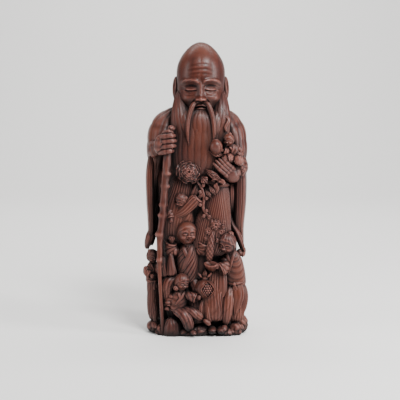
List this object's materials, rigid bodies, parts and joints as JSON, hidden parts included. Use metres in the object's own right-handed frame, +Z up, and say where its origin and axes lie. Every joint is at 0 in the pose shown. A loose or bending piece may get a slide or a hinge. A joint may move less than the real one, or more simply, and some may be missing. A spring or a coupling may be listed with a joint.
{
  "type": "carved wooden figure",
  "caption": "Carved hardwood figure of a bearded old man with a tall brow and a gnarled staff, with children, a peony and a pomegranate carved about his robe.",
  "frame": {"origin": "middle of the flat underside that the figure stands on", "axes": "+Z up along the figure's height, -Y towards its front, +X towards its own left hand, which holds the child and the peach"},
  "size_m": [0.138, 0.1124, 0.38],
  "materials": {
    "wood": "reddish-brown hardwood, waxed and polished to a soft sheen, nearly black in the hollows and lighter on the worn edges"
  },
  "bodies": {
    "root": {"carved_figure": "wood"}
  },
  "joints": []
}
